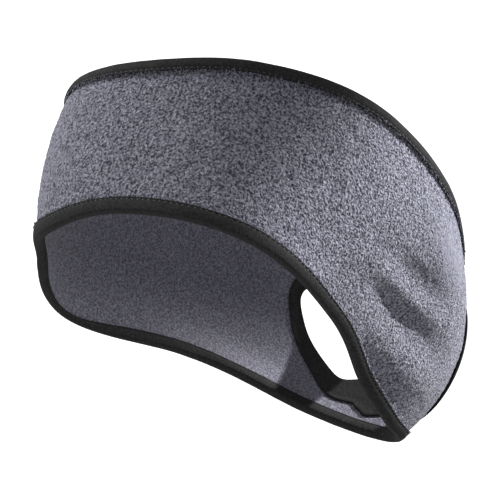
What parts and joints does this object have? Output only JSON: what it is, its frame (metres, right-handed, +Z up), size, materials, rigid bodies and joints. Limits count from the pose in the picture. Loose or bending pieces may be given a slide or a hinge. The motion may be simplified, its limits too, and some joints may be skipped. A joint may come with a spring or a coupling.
{
  "type": "fleece headband",
  "caption": "Fleece ear-warming headband with folded tape edges and a tape-edged ponytail opening at the back, shaped as worn on a head.",
  "frame": {"origin": "middle of the hollow that the head fills", "axes": "+Z up along the wearer's head, -Y towards the forehead, +Y towards the back of the head, +X towards the wearer's left"},
  "size_m": [0.1565, 0.2049, 0.1282],
  "materials": {
    "fleece": "napped grey fleece, matte",
    "tape": "smooth charcoal stretch tape, matte"
  },
  "bodies": {
    "root": {"fleece_band": "fleece", "top_binding": "tape", "bottom_binding": "tape", "ponytail_binding": "tape"}
  },
  "joints": []
}
